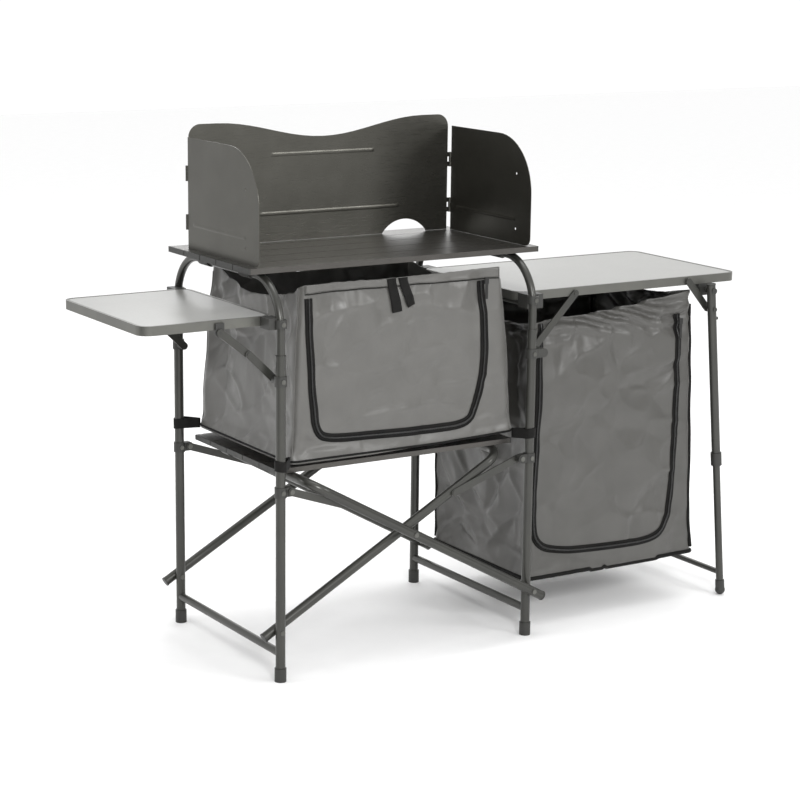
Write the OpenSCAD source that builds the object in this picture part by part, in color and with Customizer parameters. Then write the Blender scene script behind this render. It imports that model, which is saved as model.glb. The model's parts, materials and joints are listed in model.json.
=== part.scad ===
// Folding camp kitchen: slatted worktop with windshield, two side boards,
// a scissor frame, a hanging bag on a slatted shelf and a tall cupboard bag.
// Millimetres, +Z up, +X to the long side board, front of the kitchen at -Y.

/* [Main frame] */
// Distance between the left and right leg tubes
leg_span_x = 576; // [520:1:640]
// Distance between the front and rear leg tubes
leg_span_y = 428; // [400:1:480]
// Height of the worktop's upper face
worktop_h = 800; // [770:1:860]
// Outer diameter of the lower leg tubes
leg_d = 19; // [18:0.5:22]
// Outer diameter of the upper hoop tubes
hoop_d = 16; // [14:0.5:16]
// Wall of every tube
tube_wall = 1.4; // [1:0.1:1.8]
// Bend radius of the upper hoops
hoop_bend = 95; // [70:1:110]
// Height at which the hoop leaves the lower leg
leg_top_h = 640; // [625:1:650]
// Height of the bottom rails
rail_h = 56; // [50:1:64]

/* [Scissor frames] */
// Outer diameter of the scissor tubes
arm_d = 19; // [16:0.5:19]
// Height of the lower pivots
pivot_h = 99; // [90:1:110]
// Angle of the scissor arms when the frame is open
open_angle = 29.1; // [27:0.1:31]
// Gap between a leg and the arm beside it
arm_gap = 2; // [1.5:0.1:3]
// Length of arm beyond its lower pivot
arm_tail = 27; // [20:1:35]
// Bend radius of the scissor frames
arm_bend = 40; // [32:1:45]
// Distance of a strut's stud past the crossing
strut_reach = 130; // [120:1:140]
// Height of a strut's pivot on the leg
strut_h = 376; // [368:1:378]

/* [Worktop and shelf] */
// How far each end of the worktop stands out beyond the main legs' middles
worktop_overhang = 42; // [24:1:72]
// Depth of the worktop
worktop_w = 342; // [320:1:360]
// Thickness of the worktop's slats
worktop_t = 11; // [9:0.5:14]
// Number of slats in the worktop and in the shelf
slat_n = 5; // [4:1:7]
// Length of the shelf
shelf_l = 548; // [500:1:550]
// Depth of the shelf
shelf_w = 342; // [320:1:350]
// Thickness of the shelf's slats
shelf_t = 10; // [8:0.5:12]
// Height of the shelf's upper face
shelf_h = 409; // [405:1:420]

/* [Windshield] */
// Height of the windshield
shield_h = 243; // [200:1:260]
// Distance of the back panel behind the worktop's middle
shield_y = 130; // [110:1:150]
// Length of each wing
wing_l = 297; // [260:1:300]
// Thickness of the sheet
sheet_t = 1.2; // [1:0.1:2]

/* [Side boards] */
// Depth of both side boards
board_w = 358; // [340:1:362]
// Height of the boards' edge frame
board_t = 18; // [16:1:20]
// Height of the boards' upper face
board_h = 711; // [705:1:715]
// Diameter of the rod that the right board rests on
rod_d = 7; // [6:0.5:8]
// Length of the left board
left_board_l = 272; // [220:1:300]
// Length of the right board
right_board_l = 574; // [520:1:620]

/* [Right legs] */
// Distance from the right leg plane of the frame to the board legs' hinge
side_leg_x = 474; // [450:1:500]
// Splay of the board legs
side_leg_splay = 5.2; // [3:0.1:7]
// Distance between the two board legs
side_leg_span = 400; // [396:1:410]
// Height of the board legs' hinge
side_hinge_h = 680; // [676:1:682]

/* [Bags] */
// Length of the shelf bag at its bottom
bag_l = 524; // [480:1:530]
// Depth of the shelf bag at its bottom
bag_w = 396; // [380:1:400]
// Height of the shelf bag's hem
bag_top_h = 770; // [760:1:770]
// Length of the cupboard bag at its bottom
cupboard_l = 446; // [400:1:448]
// Depth of the cupboard bag
cupboard_w = 358; // [330:1:358]
// Height of the cupboard bag's bottom above the floor
cupboard_bottom_h = 98; // [90:1:150]

/* [Hidden] */
$fn = 48;
fit = 0.05;        // radial clearance of every pin and telescoping tube
gap = 0.3;         // clearance between pieces that only lie on each other
foot_r = 11;       // ball feet of the board legs
saddle_t = 2.2;    // wall of the plastic rings around the legs
saddle_l = 20;     // their height
block_wall = 4;    // wall of the board blocks around the hoops
pin_d = 6;         // scissor, strut and hinge pins
rivet_d = 5;       // rivets through the legs
head_t = 1.2;      // rivet head
strap_t = 3;       // thickness of struts and braces
strut_w = 15;      // width of struts and braces
foot_h = 27;       // foot cap
foot_wall = 2;     // foot cap's wall and half of its floor
half_x = leg_span_x / 2;
worktop_l = leg_span_x + 2 * worktop_overhang;
half_y = leg_span_y / 2;
arm_r = half_x / cos(open_angle);
layer = (leg_d + arm_d) / 2 + arm_gap;
cross_h = pivot_h + arm_r * sin(open_angle);
u_top_h = shelf_h - shelf_t - gap - arm_d / 2;
arm_l = (u_top_h - pivot_h) / sin(open_angle);
strut_px = half_x - 20;
strut_qx = strut_reach * cos(open_angle);
strut_qz = cross_h + strut_reach * sin(open_angle);
strut_dy = 8;      // struts lie this far from the leg's middle plane
hoop_top = worktop_h - worktop_t - gap - hoop_d / 2;
hoop_in = 60;      // hoop length inside the lower leg
brace_h = 591;     // brace pivots on the legs
block_h = 700;     // board hinge pins on the hoops
edge_t = 6;        // wall of the boards' edge frame
board_half = board_w / 2;
rod_drop = block_h - board_h + board_t + rod_d / 2 + 1;
left_in = -half_x + 3;
left_out = left_in - left_board_l;
right_in = half_x - 12;
right_out = right_in + right_board_l;
hinge_dx = 12;     // board hinge pin beyond the leg plane
low_y = board_half + 9;      // middle plane of lower brace links
high_y = board_half + 5.9;   // middle plane of upper brace links
link_t = 2.5;
clevis_dx = 111;   // left board clevis beyond the leg plane
clevis_h = 688;
mid_dx = 53;       // left brace's middle joint beyond the leg plane
mid_h = 642;
prop_foot_dx = 26; // right prop's foot and head beyond the leg plane
prop_head_dx = 130;
prop_head_h = 698;
side_x = half_x + side_leg_x;
side_half = side_leg_span / 2;
side_leg_len = (side_hinge_h - foot_r) / cos(side_leg_splay);
collar_s = 372;    // collar's place along a board leg
bar_s = 632;       // crossbar's place along a board leg
stay_s = 40;       // stay's pivot along a board leg
stay_dx = 48;      // stay's upper stud, back from the hinge
stay_h = 700;
worktop_z0 = worktop_h - worktop_t;
shield_z0 = worktop_h + gap;
shield_x = 309;    // wing hinge axes
knuckle_d = 6;
knuckle_l = 30;
knuckle_z = [52, 148];
back_half = shield_x - 5;
dip = 34;          // how far the back panel's wavy top dips
prop_y = board_half + 2.5;
stay_y = board_half + 4.5;
button_s = 62;     // lock button's place along a board leg
button_d = 7;
bag_top_l = bag_l - 60;
bag_top_w = bag_w - 16;
mid_x = (left_out + right_out) / 2;
steel = "#55554f";
plastic = "#2e2e2c";
laminate = "#cfcfcc";
edge_metal = "#4a4a46";
anthracite = "#3c3b37";
fabric = "#7a7974";
webbing = "#1e1d1a";

// The frame's own coordinates have X = 0 midway between the legs;
// the object's origin is the middle of its footprint on the floor.
module placed() { translate([-mid_x, 0, 0]) children(); }

// ---- shared shapes ----

module tube(d, l, wall = tube_wall) {
  difference() {
    cylinder(d = d, h = l);
    translate([0, 0, -1]) cylinder(d = d - 2 * wall, h = l + 2);
  }
}

// Rod along Y, centred on y
module rod_y(d, l) { rotate([90, 0, 0]) cylinder(d = d, h = l, center = true); }

// Quarter bend in the XY plane: starts at [r, 0] and ends at [0, r]
module bend(d, r, wall = tube_wall) {
  rotate_extrude(angle = 90) translate([r, 0]) difference() {
    circle(d = d);
    circle(d = d - 2 * wall);
  }
}

// Rounded plate in the XY plane, its underside at z = 0
module plate(x, y, t, r) {
  linear_extrude(t) rounded(x, y, r);
}
module rounded(x, y, r) {
  union() {
    square([x - 2 * r, y], center = true);
    square([x, y - 2 * r], center = true);
    for (sx = [-1, 1], sy = [-1, 1])
      translate([sx * (x / 2 - r), sy * (y / 2 - r)]) circle(r = r);
  }
}

// Flat bar in the XZ plane between two points, middle plane at y = 0
module flat_bar(p, q, w, t, hole = 0) {
  len = norm(q - p);
  a = atan2(q[1] - p[1], q[0] - p[0]);
  translate([p[0], 0, p[1]]) rotate([0, -a, 0]) difference() {
    union() {
      translate([0, -t / 2, -w / 2]) cube([len, t, w]);
      rod_y(w, t);
      translate([len, 0, 0]) rod_y(w, t);
    }
    if (hole > 0) for (x = [0, len]) translate([x, 0, 0]) rod_y(hole, t + 2);
  }
}

// Rivet along Y with a low round head at each end
module rivet(d, grip) {
  rod_y(d, grip);
  for (s = [-1, 1]) translate([0, s * (grip / 2 + head_t / 2), 0]) rod_y(d + 4, head_t);
}

// Both legs of one side
module front_and_rear() { for (s = [-1, 1]) translate([0, s * half_y, 0]) children(); }

// ---- main frame: side = -1 is the left, 1 the right ----

module hoop(side) {
  r = hoop_bend;
  z0 = leg_top_h - hoop_in;
  translate([side * half_x, 0, 0]) difference() {
    union() {
      front_and_rear() translate([0, 0, z0]) tube(hoop_d, hoop_top - r - z0);
      for (s = [-1, 1]) translate([0, s * (half_y - r), hoop_top - r])
        rotate([90, 0, 90]) mirror([s < 0 ? 1 : 0, 0, 0]) bend(hoop_d, r);
      translate([0, -half_y + r, hoop_top]) rotate([-90, 0, 0]) tube(hoop_d, 2 * (half_y - r));
    }
    front_and_rear() for (z = [brace_h, block_h]) translate([0, 0, z])
      rod_y(rivet_d + 2 * fit, leg_d + 4);
  }
}
module hoop_left() { color(steel) placed() hoop(-1); }
module hoop_right() { color(steel) placed() hoop(1); }

module legs(side) {
  leg_bore = (leg_d - hoop_d) / 2 - fit;
  translate([side * half_x, 0, 0]) front_and_rear() difference() {
    translate([0, 0, 2 * foot_wall + fit]) tube(leg_d, leg_top_h - 2 * foot_wall - fit, leg_bore);
    for (z = [brace_h, strut_h]) translate([0, 0, z]) rod_y(rivet_d + 2 * fit, leg_d + 4);
    translate([0, 0, pivot_h]) rod_y(pin_d + 2 * fit, leg_d + 4);
  }
}
module legs_left() { color(steel) placed() legs(-1); }
module legs_right() { color(steel) placed() legs(1); }

module foot_caps(side) {
  translate([side * half_x, 0, 0]) front_and_rear() difference() {
    cylinder(d = leg_d + 2 * fit + 2 * foot_wall, h = foot_h);
    translate([0, 0, 2 * foot_wall]) cylinder(d = leg_d + 2 * fit, h = foot_h);
  }
}
module foot_caps_left() { color(plastic) placed() foot_caps(-1); }
module foot_caps_right() { color(plastic) placed() foot_caps(1); }

// Rail between the front and rear leg, its ends coped to the leg tubes
module bottom_rail(side) {
  translate([side * half_x, 0, rail_h]) difference() {
    rotate([90, 0, 0]) translate([0, 0, -half_y]) tube(hoop_d, leg_span_y);
    front_and_rear() translate([0, 0, -hoop_d]) cylinder(d = leg_d + 2 * fit, h = 2 * hoop_d);
  }
}
module bottom_rail_left() { color(steel) placed() bottom_rail(-1); }
module bottom_rail_right() { color(steel) placed() bottom_rail(1); }

// Screw from a leg's outer face into the block or ear behind it
module leg_screw(reach) {
  depth = 14;
  translate([0, (reach - depth) / 2, 0]) rod_y(rivet_d, reach + depth);
  translate([0, reach + head_t / 2, 0]) rod_y(rivet_d + 4, head_t);
}
// Rivets and screws that hold the saddles, blocks and hoops, and the struts' pins
module leg_rivets(side) {
  pin_in = -7;
  pin_out = strut_dy + strap_t / 2 + gap;
  translate([side * half_x, 0, 0]) front_and_rear() {
    translate([0, 0, strut_h]) rivet(rivet_d, leg_d + 2 * saddle_t);
    translate([-side * 20, side * (pin_in + pin_out) / 2, strut_h]) rivet(pin_d, pin_out - pin_in);
  }
  for (s = [-1, 1]) translate([side * half_x, s * half_y, 0]) mirror([0, s < 0 ? 1 : 0, 0]) {
    translate([0, 0, brace_h]) leg_screw(leg_d / 2 + saddle_t);
    translate([0, 0, block_h]) leg_screw(hoop_d / 2 + block_wall);
  }
}
module leg_rivets_left() { color(steel) placed() leg_rivets(-1); }
module leg_rivets_right() { color(steel) placed() leg_rivets(1); }

// ---- scissor frames ----

// U-shaped tube frame in its own XY plane: arms along +X from the lower
// pivot line, the top across Y at x = arm_l
module u_frame() {
  r = arm_bend;
  difference() {
    union() {
      for (s = [-1, 1]) {
        translate([-arm_tail, s * half_y, 0]) rotate([0, 90, 0]) tube(arm_d, arm_tail + arm_l - r);
        translate([arm_l - r, s * (half_y - r), 0]) mirror([0, s < 0 ? 1 : 0, 0]) bend(arm_d, r);
      }
      translate([arm_l, -half_y + r, 0]) rotate([-90, 0, 0]) tube(arm_d, 2 * (half_y - r));
    }
    for (s = [-1, 1], x = [0, arm_r]) translate([x, s * half_y, 0])
      rod_y(pin_d + 2 * fit, arm_d + 4);
  }
}
// Frame a pivots on the right legs and lies in front; frame b is its mirror image
module as_frame_a() {
  translate([half_x, -layer, pivot_h]) mirror([1, 0, 0]) rotate([0, -open_angle, 0]) children();
}
module as_frame_b() {
  translate([-half_x, layer, pivot_h]) rotate([0, -open_angle, 0]) children();
}
module arm_caps() {
  for (s = [-1, 1]) translate([-arm_tail, s * half_y, 0]) rotate([0, 90, 0]) {
    translate([0, 0, -3]) cylinder(d = arm_d + 1, h = 3 - fit);
    translate([0, 0, -3]) cylinder(d = arm_d - 2 * tube_wall - 2 * fit, h = 15);
  }
}
module scissor_frame_a() { color(steel) placed() as_frame_a() u_frame(); }
module scissor_frame_b() { color(steel) placed() as_frame_b() u_frame(); }
module arm_caps_a() { color(plastic) placed() as_frame_a() arm_caps(); }
module arm_caps_b() { color(plastic) placed() as_frame_b() arm_caps(); }

// Shouldered pin at a lower pivot, its arm beside the leg on the y_side
module lower_pin(y_side) {
  grip = (leg_d + arm_d) / 2 + layer + 2 * gap;
  translate([0, y_side * (layer + (arm_d - leg_d) / 2) / 2, 0]) rivet(pin_d, grip);
  translate([0, y_side * (leg_d + arm_gap) / 2, 0]) rod_y(12, arm_gap - 2 * gap);
}
module lower_pins_left() {
  color(steel) placed() for (s = [-1, 1]) translate([-half_x, s * half_y, pivot_h]) lower_pin(1);
}
// Frame a's pins: where the arms cross, and at the right legs
module scissor_pins() {
  color(steel) placed() for (s = [-1, 1]) {
    translate([0, s * half_y, cross_h]) {
      rivet(pin_d, 2 * layer + arm_d + 2 * gap);
      rod_y(12, 2 * layer - arm_d - 2 * gap);
    }
    translate([half_x, s * half_y, pivot_h]) lower_pin(-1);
  }
}

// ---- struts between the legs and the arms ----

// Ring around a leg or hoop, open through the middle
module ring(d, l, wall = saddle_t) {
  translate([0, 0, -l / 2]) difference() {
    cylinder(d = d + 2 * wall, h = l);
    translate([0, 0, -1]) cylinder(d = d + 2 * fit, h = l + 2);
  }
}

module strut_saddles(side) {
  inner = strut_dy - strap_t / 2 - gap;
  translate([side * half_x, 0, strut_h]) front_and_rear() difference() {
    union() {
      ring(leg_d, saddle_l);
      difference() {
        union() {
          translate([side > 0 ? -20 : 0, side > 0 ? -7 : -inner, -9]) cube([20, inner + 7, 18]);
          translate([-side * 20, side * (inner - 7) / 2, 0]) rod_y(18, inner + 7);
        }
        cylinder(d = leg_d + 2 * fit, h = saddle_l + 2, center = true);
      }
    }
    rod_y(rivet_d + 2 * fit, leg_d + 20);
    translate([-side * 20, 0, 0]) rod_y(pin_d + 2 * fit, 40);
  }
}
module strut_saddles_left() { color(plastic) placed() strut_saddles(-1); }
module strut_saddles_right() { color(plastic) placed() strut_saddles(1); }

// Struts: a running hole on the leg's pin, a short stud beside the arm
module struts(side) {
  p = [side * strut_px, strut_h];
  q = [side * strut_qx, strut_qz];
  for (s = [-1, 1]) translate([0, s * half_y + side * strut_dy, 0]) {
    difference() {
      flat_bar(p, q, strut_w, strap_t);
      translate([p[0], 0, p[1]]) rod_y(pin_d + 2 * fit, strap_t + 2);
    }
    translate([q[0], -side * (strap_t + head_t) / 2, q[1]]) rod_y(pin_d + 4, head_t);
    translate([q[0], side * (strap_t + 1) / 2, q[1]]) rod_y(pin_d, 1);
  }
}
module struts_left() { color(steel) placed() struts(-1); }
module struts_right() { color(steel) placed() struts(1); }

// ---- slatted worktop and shelf ----

// Hollow slats along X, their upper face at z = 0
module slats(l, w, t) {
  pitch = w / slat_n;
  slat_w = pitch - 2;
  web = 1.3;
  cell = (slat_w - 4 * web) / 3;
  for (i = [0 : slat_n - 1]) translate([-l / 2, -w / 2 + (i + 0.5) * pitch, -t])
    rotate([90, 0, 90]) linear_extrude(l) difference() {
      translate([-slat_w / 2, 0]) square([slat_w, t]);
      for (k = [-1, 0, 1]) translate([k * (cell + web) - cell / 2, web]) square([cell, t - 2 * web]);
    }
}
// Caps over the slats' ends, with a tongue in each outer cell
module slat_caps(l, w, t) {
  pitch = w / slat_n;
  slat_w = pitch - 2;
  web = 1.3;
  cell = (slat_w - 4 * web) / 3;
  for (s = [-1, 1], i = [0 : slat_n - 1]) translate([s * l / 2, -w / 2 + (i + 0.5) * pitch, -t]) {
    translate([s < 0 ? -3 : fit, -slat_w / 2, 0]) cube([3 - fit, slat_w, t]);
    for (k = [-1, 1]) translate([s < 0 ? -1 : -12, k * (cell + web) - cell / 2 + fit, web + fit])
      cube([13, cell - 2 * fit, t - 2 * web - 2 * fit]);
  }
}
module worktop_slats() {
  color(anthracite) placed() translate([0, 0, worktop_h]) slats(worktop_l - 6, worktop_w, worktop_t);
}
module worktop_end_caps() {
  color(plastic) placed() translate([0, 0, worktop_h])
    slat_caps(worktop_l - 6, worktop_w, worktop_t);
}
// Open clips that ride on the hoops' top bars
module worktop_clips(side) {
  d = hoop_d + 6;
  translate([side * half_x, 0, hoop_top]) for (s = [-1, 1]) translate([0, s * 85, 0]) difference() {
    union() {
      rod_y(d, 40);
      translate([-d / 2, -20, 0]) cube([d, 40, hoop_d / 2]);
    }
    rod_y(hoop_d + 2 * fit, 42);
    translate([-d, -21, hoop_d / 2]) cube([2 * d, 42, d]);
    translate([-hoop_d / 2 + 1, -21, 0]) cube([hoop_d - 2, 42, d]);
  }
}
module worktop_clips_left() { color(plastic) placed() worktop_clips(-1); }
module worktop_clips_right() { color(plastic) placed() worktop_clips(1); }

module shelf_slats() {
  color(anthracite) placed() translate([0, 0, shelf_h]) slats(shelf_l - 6, shelf_w, shelf_t);
}
module shelf_end_caps() {
  color(plastic) placed() translate([0, 0, shelf_h]) slat_caps(shelf_l - 6, shelf_w, shelf_t);
}
// Open clips on the top of scissor frame a, level under the shelf
module shelf_clips() {
  d = arm_d + 6;
  x = half_x - arm_l * cos(open_angle);
  color(plastic) placed() translate([x, 0, u_top_h]) for (s = [-1, 1])
    translate([0, s * 100, 0]) difference() {
      union() {
        rod_y(d, 30);
        translate([-d / 2, -15, 0]) cube([d, 30, arm_d / 2]);
      }
      rod_y(arm_d + 2 * fit, 32);
      translate([-d, -16, arm_d / 2]) cube([2 * d, 32, d]);
      translate([-arm_d / 2 + 1, -16, 0]) cube([arm_d - 2, 32, d]);
    }
}

// ---- windshield ----

function arc(cx, cy, r, a0, a1, n = 8) =
  [for (i = [0 : n]) [cx + r * cos(a0 + (a1 - a0) * i / n), cy + r * sin(a0 + (a1 - a0) * i / n)]];

function wave(x) = abs(x) < 240 ? shield_h - dip * pow(cos(90 * x / 240), 2) : shield_h;

// Knuckles of one wing hinge line; those of the back and of the wing alternate
module knuckles(of_wing) {
  for (z = knuckle_z, k = [0, 1, 2]) if ((k == 1) == of_wing)
    translate([0, 0, z + (k - 1) * (knuckle_l / 3 + 0.2) - knuckle_l / 6]) difference() {
      cylinder(d = knuckle_d, h = knuckle_l / 3 - 0.2);
      translate([0, 0, -1]) cylinder(d = 3 + 2 * fit, h = knuckle_l);
    }
}
module windshield_back() {
  r = 26;
  top = [for (i = [0 : 20]) let (x = 240 - 24 * i) [x, wave(x)]];
  color(anthracite) placed() translate([0, shield_y, shield_z0]) {
    rotate([90, 0, 0]) translate([0, 0, -sheet_t / 2]) linear_extrude(sheet_t) difference() {
      polygon(concat([[-back_half, 0], [back_half, 0]], arc(back_half - r, shield_h - r, r, 0, 90),
        top, arc(-back_half + r, shield_h - r, r, 90, 180)));
      translate([198, -39]) circle(r = 67);
    }
    for (s = [-1, 1]) {
      translate([s * shield_x, -3, 0]) knuckles(false);
      for (z = knuckle_z) translate([s > 0 ? back_half - 1 : -shield_x + 2.5, -1.6, z - knuckle_l / 2])
        cube([3.5, 1.2, knuckle_l / 3]);
      for (z = knuckle_z) translate([s > 0 ? back_half - 1 : -shield_x + 2.5, -1.6, z + knuckle_l / 6 + 0.5])
        cube([3.5, 1.2, knuckle_l / 3 - 0.5]);
    }
  }
}
// Wing outline from its hinge line, x towards the front
module wing_outline() {
  h = shield_h - 24;
  r = 115;
  polygon(concat([[5, 0], [wing_l - 16, 0]], arc(wing_l - 16, 16, 16, -90, 0),
    arc(wing_l - r, h - r, r, 0, 90, 16), [[5, h]]));
}
module wing(side) {
  translate([side * shield_x, shield_y - 3, shield_z0]) {
    difference() {
      rotate([90, 0, -90]) translate([0, 0, -sheet_t / 2]) linear_extrude(sheet_t) wing_outline();
      for (z = [30, 142]) translate([0, -wing_l + 52, z]) rotate([0, 90, 0])
        cylinder(d = 5, h = 10, center = true);
    }
    knuckles(true);
    for (z = knuckle_z) translate([-sheet_t / 2, -6, z - knuckle_l / 6])
      cube([sheet_t, 4, knuckle_l / 3 - 0.2]);
  }
}
module windshield_wing_left() { color("#6a6864") placed() wing(-1); }
module windshield_wing_right() { color(anthracite) placed() wing(1); }
module windshield_pins() {
  color(steel) placed() for (s = [-1, 1], z = knuckle_z)
    translate([s * shield_x, shield_y - 3, shield_z0 + z - knuckle_l / 2 - 0.4])
      cylinder(d = 3, h = knuckle_l + 0.8);
}

// ---- side boards ----

// Space of a hoop's leg and bend around a board block
module hoop_space() {
  drop = block_h - hoop_top + hoop_bend;
  translate([0, 0, -60]) cylinder(d = hoop_d + 2 * fit, h = 60 - drop);
  translate([0, -hoop_bend, -drop]) rotate([90, 0, 90]) rotate_extrude(angle = 90)
    translate([hoop_bend, 0]) circle(d = hoop_d + 2 * fit);
}
// Block on a hoop with the pin that a board hangs on; the right blocks reach
// lower and further in for the board rod
module board_blocks(side) {
  down = side > 0 ? rod_drop + rod_d - 0.5 : 10;
  inward = side > 0 ? 13 : 1;
  inner = half_y - board_half - 1;
  for (s = [-1, 1]) translate([side * half_x, s * half_y, block_h]) mirror([side < 0 ? 1 : 0, 0, 0])
    mirror([0, s < 0 ? 1 : 0, 0]) difference() {
      union() {
        translate([0, 0, -8]) cylinder(d = hoop_d + 2 * block_wall, h = 16);
        translate([-inward, -inner, -down]) cube([inward + 25, inner, down + 11]);
        translate([hinge_dx, -inner - edge_t / 2 + 1, 0]) rod_y(8, edge_t + 2);
      }
      hoop_space();
      rod_y(rivet_d + 2 * fit, 30);
      if (side > 0) translate([-8.5, -inner, -rod_drop]) rod_y(rod_d + 2 * fit, 16);
    }
}
module board_blocks_left() { color(plastic) placed() board_blocks(-1); }
module board_blocks_right() { color(plastic) placed() board_blocks(1); }

// Board: edge frame with a lip under the laminated panel
module board_edge(l, x_pin) {
  difference() {
    plate(l, board_w, board_t, 25);
    translate([0, 0, 2]) plate(l - 2 * edge_t, board_w - 2 * edge_t, board_t, 19);
    translate([0, 0, -1]) plate(l - 2 * edge_t - 16, board_w - 2 * edge_t - 16, board_t, 11);
    translate([x_pin, 0, block_h - board_h + board_t]) rod_y(8 + 2 * fit, board_w + 2);
  }
}
module board_panel(l) {
  translate([0, 0, 2 + gap]) plate(l - 2 * edge_t - 1, board_w - 2 * edge_t - 1, board_t - 2.8, 18.5);
}
module at_left_board() { translate([(left_in + left_out) / 2, 0, board_h - board_t]) children(); }
module at_right_board() { translate([(right_in + right_out) / 2, 0, board_h - board_t]) children(); }
module left_board_top() { color(laminate) placed() at_left_board() board_panel(left_board_l); }
module left_board_edge() {
  color(edge_metal) placed() at_left_board()
    board_edge(left_board_l, -half_x - hinge_dx - (left_in + left_out) / 2);
}
module right_board_top() { color(laminate) placed() at_right_board() board_panel(right_board_l); }
module right_board_edge() {
  color(edge_metal) placed() at_right_board()
    board_edge(right_board_l, half_x + hinge_dx - (right_in + right_out) / 2);
}

// Plates on the left board's edge that the upper links hang on
module left_board_clevises() {
  plate_t = high_y - link_t / 2 - gap - board_half - gap;
  color(plastic) placed() for (s = [-1, 1])
    translate([-half_x - clevis_dx, s * (board_half + gap + plate_t / 2), clevis_h]) {
      translate([-9, -plate_t / 2, -2]) cube([18, plate_t, 20]);
      rod_y(18, plate_t);
      translate([0, s * (link_t / 2 + gap / 2), 0]) rod_y(5, plate_t + link_t + gap);
    }
}
module brace_upper_links() {
  p = [-half_x - clevis_dx, clevis_h];
  q = [-half_x - mid_dx, mid_h];
  color(steel) placed() for (s = [-1, 1]) translate([0, s * high_y, 0]) difference() {
    flat_bar(p, q, strut_w, link_t);
    translate([p[0], 0, p[1]]) rod_y(5 + 2 * fit, link_t + 2);
  }
}
module brace_lower_links() {
  p = [-half_x, brace_h];
  q = [-half_x - mid_dx, mid_h];
  color(steel) placed() for (s = [-1, 1]) translate([0, s * low_y, 0]) {
    difference() {
      flat_bar(p, q, strut_w, link_t);
      translate([p[0], 0, p[1]]) rod_y(5 + 2 * fit, link_t + 2);
    }
    translate([q[0], s * (link_t + head_t) / 2, q[1]]) rod_y(9, head_t);
  }
}
// Rings on the left legs whose ears carry the lower links
module brace_saddles_left() {
  ear_y = low_y + link_t / 2 + gap;
  ear_l = half_y - ear_y;
  color(plastic) placed() for (s = [-1, 1]) translate([-half_x, s * half_y, brace_h])
    mirror([0, s < 0 ? 1 : 0, 0]) difference() {
      union() {
        ring(leg_d, saddle_l);
        difference() {
          translate([0, -ear_l / 2, 0]) rod_y(16, ear_l);
          cylinder(d = leg_d + 2 * fit, h = 40, center = true);
        }
        translate([0, -ear_l - (link_t + gap) / 2 + 2, 0]) rod_y(5, link_t + gap + 4);
      }
      rod_y(rivet_d + 2 * fit, 30);
    }
}

// Rod between the right blocks, under the right board's inner end
module board_rod() {
  color(steel) placed() translate([half_x - 8.5, 0, block_h - rod_drop])
    rod_y(rod_d, 2 * (board_half + 8));
}
module prop_saddles_right() {
  reach = half_y - prop_y - link_t / 2 - gap;
  color(plastic) placed() for (s = [-1, 1]) translate([half_x, s * half_y, brace_h])
    mirror([0, s < 0 ? 1 : 0, 0]) difference() {
      union() {
        ring(leg_d, saddle_l);
        difference() {
          translate([0, -8, -9]) cube([prop_foot_dx, 16, 18]);
          cylinder(d = leg_d + 2 * fit, h = 40, center = true);
        }
        translate([prop_foot_dx, (8 - reach) / 2, 0]) rod_y(18, reach + 8);
        translate([prop_foot_dx, -reach - (link_t + gap) / 2, 0]) rod_y(5, link_t + gap + 1);
      }
      rod_y(rivet_d + 2 * fit, 30);
    }
}
module right_props() {
  p = [half_x + prop_foot_dx, brace_h];
  q = [half_x + prop_head_dx, prop_head_h];
  color(steel) placed() for (s = [-1, 1]) translate([0, s * prop_y, 0]) {
    flat_bar(p, q, strut_w, link_t, 5 + 2 * fit);
    translate([q[0], 0, q[1]]) {
      rod_y(5, link_t + 1);
      translate([0, s * (link_t + head_t) / 2, 0]) rod_y(9, head_t);
    }
  }
}

// ---- folding legs of the right board ----

// Local +Z runs down the leg from its hinge; s picks the front or rear leg
module along_leg(s) {
  translate([side_x, s * side_half, side_hinge_h]) rotate([0, 180 - side_leg_splay, 0]) children();
}
// Wedge-shaped brackets under the board with the hinge pins
module side_leg_brackets() {
  in_y = 160;
  out_y = board_half + 1.5;
  top = board_h - board_t - gap - side_hinge_h;
  pin_end = side_half + leg_d / 2 + 1;
  color(plastic) placed() for (s = [-1, 1]) translate([side_x, 0, side_hinge_h])
    mirror([0, s < 0 ? 1 : 0, 0]) {
      translate([0, out_y, 0]) rotate([90, 0, 0]) linear_extrude(out_y - in_y)
        polygon([[-19, top], [19, top], [10, -12], [-10, -12]]);
      translate([0, (in_y + pin_end) / 2, 0]) rod_y(8, pin_end - in_y);
      translate([0, pin_end + head_t / 2, 0]) rod_y(13, head_t);
      translate([0, side_half - leg_d / 2 - 2.5, 0]) rod_y(13, 4);
    }
}
module side_leg_uppers() {
  bore_wall = (leg_d - hoop_d) / 2 - fit;
  color(steel) placed() for (s = [-1, 1]) along_leg(s) difference() {
    translate([0, 0, -12]) tube(leg_d, collar_s + 12, bore_wall);
    rod_y(8 + 2 * fit, leg_d + 4);
    translate([0, 0, stay_s]) rod_y(pin_d, leg_d + 4);
    translate([-leg_d / 2, 0, button_s]) rotate([0, 90, 0])
      cylinder(d = button_d + 2 * fit, h = 12, center = true);
  }
}
// Plugs in the legs' tops
module side_leg_caps() {
  color(plastic) placed() for (s = [-1, 1]) along_leg(s) {
    translate([0, 0, -15]) cylinder(d = leg_d + 1, h = 3 - fit);
    translate([0, 0, -15]) cylinder(d = hoop_d, h = 9);
  }
}
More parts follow.
